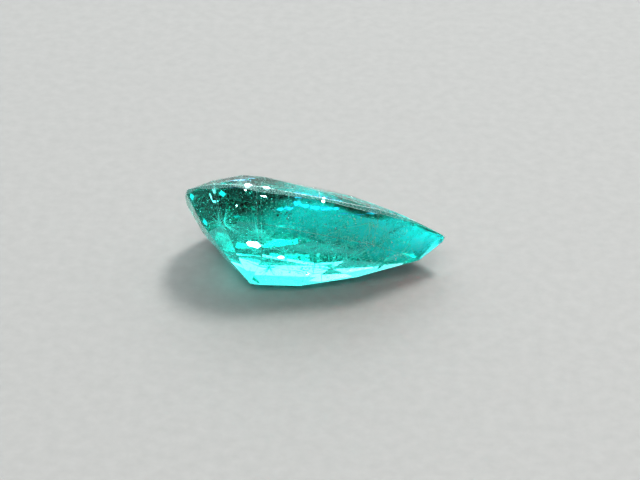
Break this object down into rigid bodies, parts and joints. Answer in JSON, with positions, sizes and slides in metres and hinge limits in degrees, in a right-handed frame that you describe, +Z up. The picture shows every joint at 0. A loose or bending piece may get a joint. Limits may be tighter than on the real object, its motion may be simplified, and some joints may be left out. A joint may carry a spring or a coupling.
{
  "type": "pear-cut emerald gemstone",
  "caption": "Loose faceted emerald in a pear cut, brilliant crown and stepped pavilion, lying on one pavilion facet.",
  "frame": {"origin": "middle of the stone's bounding box on the surface that it lies on", "axes": "+Z up from that surface, +X along the stone towards its point, +Y towards the side that its table faces"},
  "size_m": [0.011, 0.005, 0.0052],
  "materials": {
    "polished_emerald": "polished, transparent bluish green"
  },
  "bodies": {
    "root": {"emerald_stone": "polished_emerald"}
  },
  "joints": []
}
